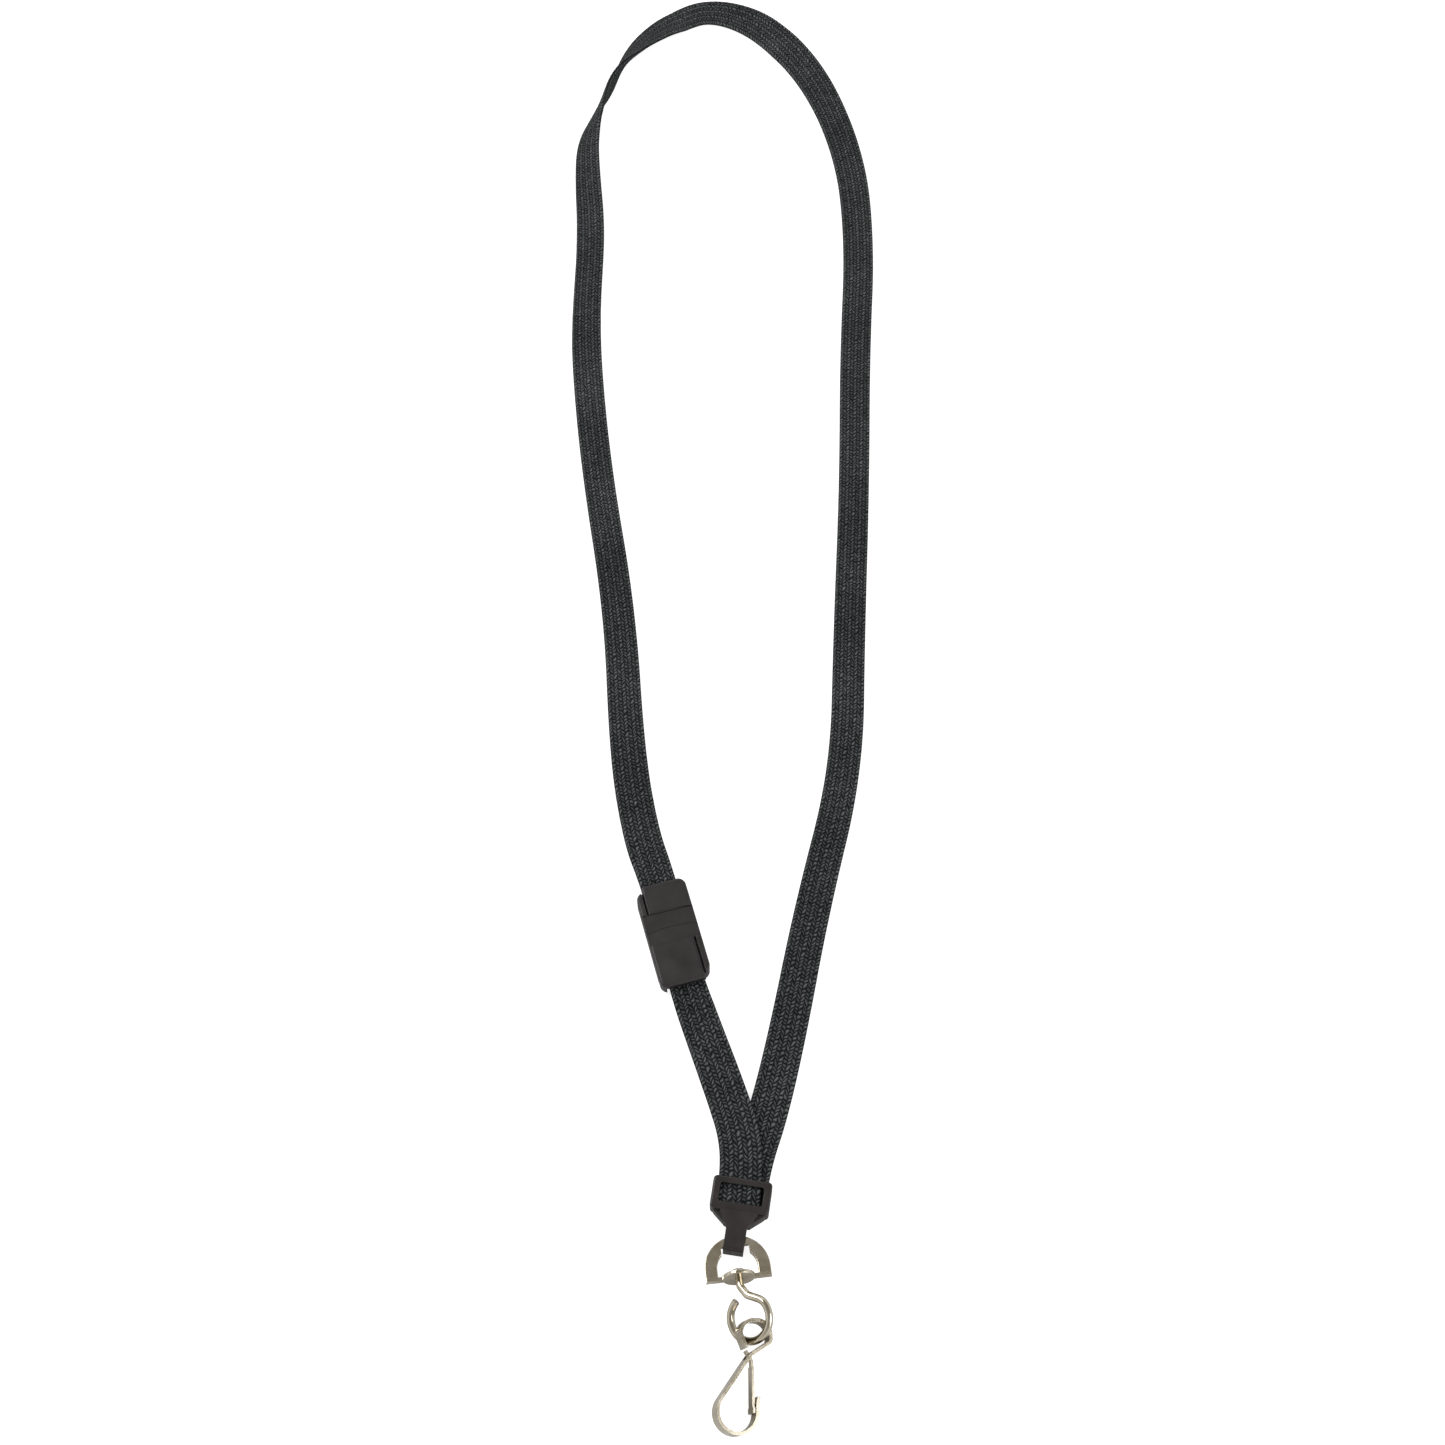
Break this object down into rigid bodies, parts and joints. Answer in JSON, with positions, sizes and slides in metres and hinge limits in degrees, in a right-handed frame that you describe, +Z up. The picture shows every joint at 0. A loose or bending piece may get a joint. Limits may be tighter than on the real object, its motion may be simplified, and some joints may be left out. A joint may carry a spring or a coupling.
{
  "type": "lanyard",
  "caption": "Flat braided neck lanyard with a safety release, a plastic crimp with a window, a swivel and a wire-formed snap hook.",
  "frame": {"origin": "centre of the crimp's back face, on the surface that the lanyard lies on", "axes": "+Z up from the surface, +Y from the snap hook end towards the far end of the neck loop, +X to the right seen from above"},
  "size_m": [0.1007, 0.4917, 0.0085],
  "materials": {
    "braid": "flat braided polyester, charcoal black",
    "release_plastic": "satin moulded plastic, brown-black",
    "crimp_plastic": "satin moulded plastic, brown-black",
    "nickel": "bright nickel plate on steel"
  },
  "bodies": {
    "root": {"long_strap": "braid", "short_strap": "braid", "breakaway_upper_base": "release_plastic", "breakaway_upper_flap": "release_plastic", "crimp_front_frame": "crimp_plastic", "crimp_back_plate": "crimp_plastic"},
    "release_half": {"breakaway_lower_base": "release_plastic", "breakaway_lower_flap": "release_plastic"},
    "swivel_frame_body": {"swivel_frame": "nickel"},
    "swivel_eye_body": {"swivel_eye": "nickel"},
    "hook_body": {"snap_hook": "nickel"},
    "gate_body": {"snap_gate": "nickel"}
  },
  "joints": [
    {"name": "release_pull", "type": "slide", "parent": "root", "child": "release_half", "axis": [0.2689, -0.9632, 0], "range_m": [0, 0.008]},
    {"name": "swivel_tilt", "type": "hinge", "parent": "root", "child": "swivel_frame_body", "pos_m": [-0.0019, -0.0123, 0.00275], "axis": [-0.9925, -0.1219, 0], "range_deg": [-60, 75]},
    {"name": "swivel_spin", "type": "hinge", "parent": "swivel_frame_body", "child": "swivel_eye_body", "pos_m": [-0.00081, -0.0212, 0.00442], "axis": [0.121, -0.9856, 0.1184], "continuous": true},
    {"name": "hook_swing", "type": "hinge", "parent": "swivel_eye_body", "child": "hook_body", "pos_m": [0.0027, -0.0353, 0.00375], "axis": [0.2924, -0.0834, 0.9527], "range_deg": [-20, 20]},
    {"name": "gate_press", "type": "hinge", "parent": "hook_body", "child": "gate_body", "pos_m": [0.0006, -0.03869, 0.0041], "axis": [-0.2924, 0.0834, -0.9527], "range_deg": [0, 11], "stiffness_Nm_per_rad": 0.02}
  ]
}
